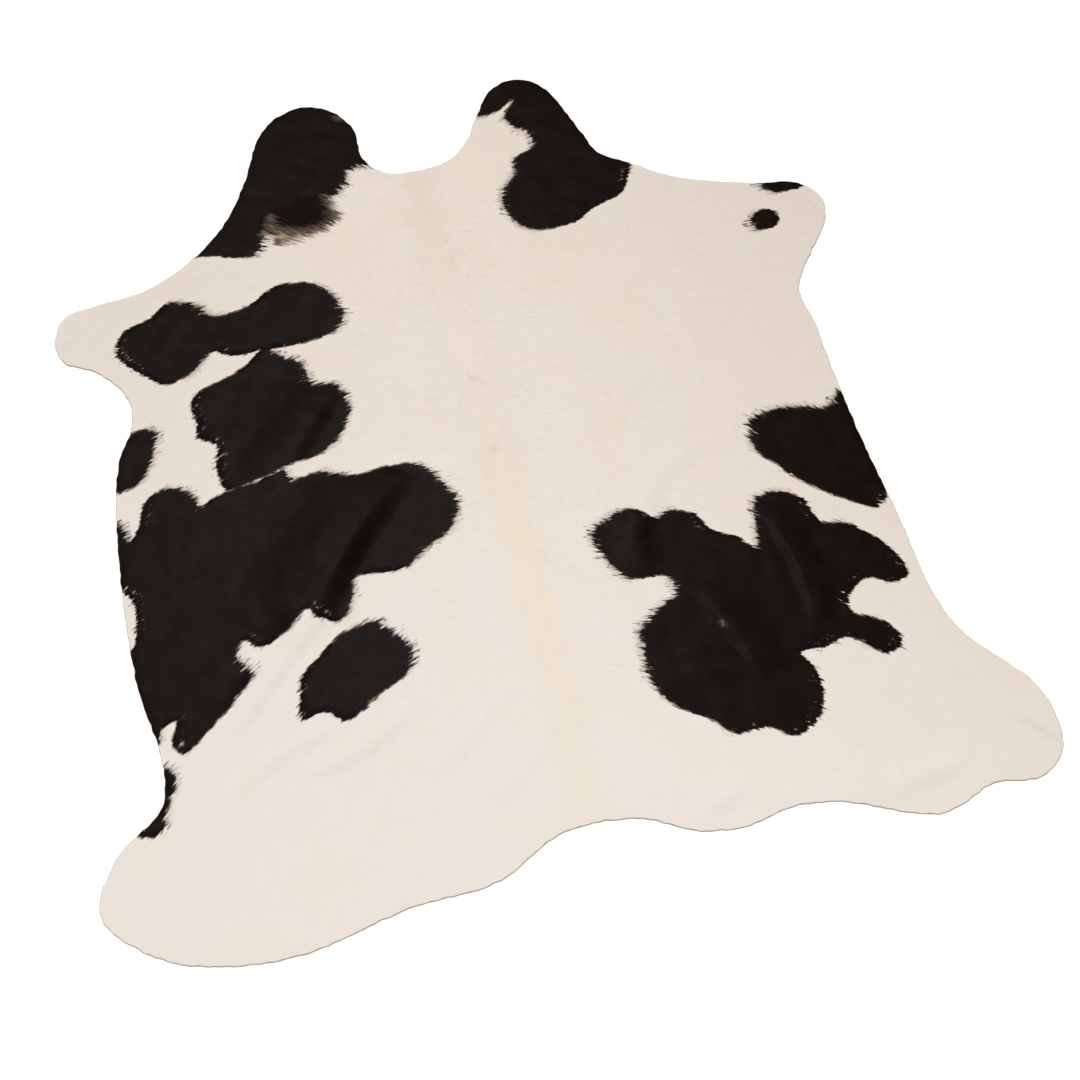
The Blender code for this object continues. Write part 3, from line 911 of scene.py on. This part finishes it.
def lock_look(name, roughness, is_black):
    """The coat's own hair colour, lock by lock a little lighter or darker."""
    look = Look(name, roughness, HAIR_SPECULAR)
    white, black = hair_colours(look, look.attribute("tone"))
    look.feed(look.shader.inputs["Base Color"], black if is_black else white)
    return look.material


black_locks_look = lock_look("black_locks", roughness=0.5, is_black=True)
white_locks_look = lock_look("white_locks", roughness=0.66, is_black=False)

ROOT_SUNK = 0.08 * MM
LOCK_BOW = 0.25
LOCK_TAPER = 0.7
LOCK_RISE = 0.8
LOCK_TONES = (0.3, 0.7)


def locks(name, root, tip, half_width, rise, stations, material):
    """Flat pointed locks that lie on the coat, each from its root to its tip.

    At the share s of its way a lock is bowed sideways by s(1 - s), stands off the coat as s^LOCK_RISE
    and is (1 - s)^LOCK_TAPER of its full width. Those whose tip would hang over the rim are left out.
    """
    on_hide = sampled(rim_depth, *tip.T) > RIM_ROLL
    root, tip, half_width, rise = root[on_hide], tip[on_hide], half_width[on_hide], rise[on_hide]
    count = len(root)
    way = (tip - root)[:, None, None]
    across = np.stack([-way[..., 1], way[..., 0]], axis=-1)
    hand = np.array([-1.0, 1.0])[None, None, :, None]
    s = np.linspace(0.0, 1.0, stations)[None, :, None, None]
    bow = random.normal(0.0, LOCK_BOW, count)[:, None, None, None]
    half_width = (half_width / np.linalg.norm(tip - root, axis=1))[:, None, None, None]
    sideways = bow * s * (1 - s) + hand * half_width * (1 - s) ** LOCK_TAPER
    flat = root[:, None, None] + way * s + across * sideways
    lift = rise[:, None, None] * s[..., 0] ** LOCK_RISE - ROOT_SUNK * (1 - s[..., 0])
    height = sampled(coat_height, flat[..., 0], flat[..., 1]) + lift
    places = np.concatenate([flat, height[..., None]], axis=-1)
    # The last station's two points are one tip.
    places = np.concatenate([places[:, :-1].reshape(count, -1, 3), places[:, -1:, 0]], axis=1)
    points = 2 * (stations - 1) + 1
    first = np.arange(count)[:, None] * points
    pair = 2 * np.arange(stations - 2)[None]
    quads = np.stack([first + pair, first + pair + 2, first + pair + 3, first + pair + 1], axis=-1)
    tips = first + np.array([[points - 3, points - 1, points - 2]])
    places = places.reshape(-1, 3)
    values = hair_values(places[:, 0], places[:, 1])
    values["tone"] = np.repeat(random.uniform(*LOCK_TONES, count), points)
    faces = quads.reshape(-1, 4).tolist() + tips.tolist()
    return new_piece(name, places, faces, material, values=values)


ROOTS_OFF_RIM = 4 * MM


def scattered(count, weight):
    """Random places on the hide, each as likely as its grid point's weight."""
    chance = (weight * (rim_depth > ROOTS_OFF_RIM)).ravel()
    chosen = random.choice(chance.size, count, p=chance / chance.sum())
    jitter = random.uniform(-0.5, 0.5, (count, 2)) * GRID_STEP
    return np.column_stack([grid_x.ravel()[chosen], grid_y.ravel()[chosen]]) + jitter


def way_at(places, spread):
    """The hair's way at some places, turned at random by about the spread."""
    x, y = places.T
    turn = np.arctan2(sampled(way_y, x, y), sampled(way_x, x, y)) + random.normal(0.0, spread, len(places))
    return np.column_stack([np.cos(turn), np.sin(turn)])


# A pair is the least and the most of what is drawn at random for each lock.
LOOSE_LENGTH_SHARE = (0.55, 1.0)
LOOSE_HALF_WIDTH = (0.35 * MM, 0.85 * MM)
LOOSE_RISE = (0.05 * MM, 0.32 * MM)
LOOSE_SPREAD = 0.14


def loose_locks(name, count, weight, material, longest=20 * MM, stations=3):
    """Locks all over the places that the weight allows."""
    root = scattered(count, weight)
    way = way_at(root, LOOSE_SPREAD)
    tip = root + way * (random.uniform(*LOOSE_LENGTH_SHARE, count) * longest)[:, None]
    half_width = random.uniform(*LOOSE_HALF_WIDTH, count)
    rise = random.uniform(*LOOSE_RISE, count)
    return locks(name, root, tip, half_width, rise, stations, material)


LOCKS_IN_CLUMP = 12
CLUMP_HALF_WIDTH = 3.0 * MM
CLUMP_POINT_SHARE = 0.25
CLUMP_SPREAD = 0.10
CLUMP_START_DEPTH = (1 * MM, 9 * MM)
CLUMP_OFF_FADED = 3 * MM
CLUMP_PAST_EDGE = (2 * MM, 12 * MM)
CLUMP_REACH = (6 * MM, 26 * MM)
CLUMP_RISE = (0.2 * MM, 0.6 * MM)
ROOT_SHIFT_SHARE = (-0.5, 0.15)
TIP_SHORT_SHARE = (0.0, 0.4)
CLUMP_STATIONS = 4
LEAST_DRAG = 0.1
FULL_DRAG = 0.6
SLANTED_DRAG = 0.25


def edge_clumps(name, count, lock_half_width, material, into_black):
    """Clumps of locks that run over a patch's edge, each to one point a few millimetres past it.

    They start where the hair leaves its own patch, and more of them the straighter it does.
    """
    into = 1.0 if into_black else -1.0
    drag, depth = black_drag * into, -black_depth * into
    shallowest, deepest = CLUMP_START_DEPTH
    by_edge = (depth > shallowest) & (depth < deepest) & (faded_depth < -CLUMP_OFF_FADED)
    middle_of = scattered(count, by_edge * np.clip(drag - LEAST_DRAG, 0.0, FULL_DRAG - LEAST_DRAG))
    way = way_at(middle_of, CLUMP_SPREAD)
    to_edge = sampled(depth, *middle_of.T) / np.clip(sampled(drag, *middle_of.T), SLANTED_DRAG, 1.0)
    reach = np.clip(to_edge + random.uniform(*CLUMP_PAST_EDGE, count), *CLUMP_REACH)
    point = middle_of + way * reach[:, None]
    across = np.column_stack([-way[:, 1], way[:, 0]])
    each_lock = (count, LOCKS_IN_CLUMP, 1)
    aside = random.uniform(-1.0, 1.0, each_lock) * CLUMP_HALF_WIDTH
    shift = random.uniform(*ROOT_SHIFT_SHARE, each_lock) * reach[:, None, None]
    short = random.uniform(*TIP_SHORT_SHARE, each_lock) * reach[:, None, None]
    root = middle_of[:, None] + across[:, None] * aside + way[:, None] * shift
    tip = point[:, None] + across[:, None] * aside * CLUMP_POINT_SHARE - way[:, None] * short
    half_width = random.uniform(*lock_half_width, count * LOCKS_IN_CLUMP)
    rise = random.uniform(*CLUMP_RISE, count * LOCKS_IN_CLUMP)
    return locks(name, root.reshape(-1, 2), tip.reshape(-1, 2), half_width, rise, CLUMP_STATIONS, material)


WELL_INSIDE = 13 * MM
LONGEST_BACK_LOCK = 38 * MM
BLACK_HALF_WIDTH = (0.35 * MM, 0.7 * MM)
WHITE_HALF_WIDTH = (0.12 * MM, 0.32 * MM)
all_white = (black_depth < -WELL_INSIDE) & (faded_depth < -WELL_INSIDE)
white_by_back = all_white * np.exp(-(out_from_back / BACK_HAIR_WIDTH) ** 2)
lock_pieces = [
    loose_locks("white_loose_locks", 36000, all_white, white_locks_look),
    loose_locks("black_loose_locks", 16000, black_depth > WELL_INSIDE, black_locks_look),
    loose_locks("back_long_locks", 5000, white_by_back, white_locks_look, LONGEST_BACK_LOCK, stations=5),
    edge_clumps("black_edge_clumps", 2900, BLACK_HALF_WIDTH, black_locks_look, into_black=False),
    edge_clumps("white_edge_clumps", 1300, WHITE_HALF_WIDTH, white_locks_look, into_black=True),
]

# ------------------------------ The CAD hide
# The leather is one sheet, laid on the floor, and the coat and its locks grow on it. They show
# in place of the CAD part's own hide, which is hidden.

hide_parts("hide")
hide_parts("hide")

# ------------------------------ The floor, light and camera
# A plain white floor under soft light: a window's from high beyond the head end, which shows the
# creases, a ceiling panel's from above, and some from everywhere. The camera stands at the tail.

FLOOR_HALF_SIZE = 9.0
FLOOR_COLOUR = (0.93, 0.93, 0.93, 1.0)
FLOOR_DROP = 0.2 * MM

floor_look = Look("floor", roughness=0.9, specular=0.0)
floor_look.feed(floor_look.shader.inputs["Base Color"], FLOOR_COLOUR)
floor_mesh = bpy.data.meshes.new("floor")
floor_corners = np.array([(-1, -1), (1, -1), (1, 1), (-1, 1)]) * FLOOR_HALF_SIZE
floor_mesh.from_pydata(np.insert(floor_corners, 2, -FLOOR_DROP, axis=1).tolist(), [], [(0, 1, 2, 3)])
floor_mesh.materials.append(floor_look.material)
floor = in_scene("floor", floor_mesh)

ROOM_LIGHT = 0.17
world = bpy.data.worlds.new("soft_room")
world.use_nodes = True
room = world.node_tree.nodes["Background"].inputs
room["Color"].default_value = (1.0, 1.0, 1.0, 1.0)
room["Strength"].default_value = ROOM_LIGHT
bpy.context.scene.world = world

# The window is seen high over the head end, a little to the left of it.
WINDOW_HEIGHT_DEG = 63
WINDOW_LEFT_DEG = 3
WINDOW_SPREAD_DEG = 16
WINDOW_STRENGTH = 1.83
window_data = bpy.data.lights.new("window", "SUN")
window_data.energy = WINDOW_STRENGTH
window_data.angle = np.radians(WINDOW_SPREAD_DEG)
window = in_scene("window", window_data)
window.rotation_euler = (np.radians(90 - WINDOW_HEIGHT_DEG), 0.0, np.radians(180 + WINDOW_LEFT_DEG))

# The ceiling panel hangs high over the camera.
PANEL_PLACE = (-0.4, -2.2, 11.0)
PANEL_SIZE = 4.0
PANEL_POWER = 720.0
panel_data = bpy.data.lights.new("ceiling_panel", "AREA")
panel_data.size = PANEL_SIZE
panel_data.energy = PANEL_POWER
panel = in_scene("ceiling_panel", panel_data)
panel.location = PANEL_PLACE
bpy.context.scene.view_settings.view_transform = "Standard"

CAMERA_PLACE = (-0.3113, -1.8301, 2.9897)
CAMERA_TILT_DEG = 27.675
CAMERA_TURN_DEG = -12.647
LENS_MM = 50.0
SENSOR_MM = 36.0
camera_data = bpy.data.cameras.new("camera")
camera_data.lens = LENS_MM
camera_data.sensor_width = SENSOR_MM
camera = in_scene("camera", camera_data)
camera.location = CAMERA_PLACE
camera.rotation_euler = (np.radians(CAMERA_TILT_DEG), 0.0, np.radians(CAMERA_TURN_DEG))
bpy.context.scene.camera = camera
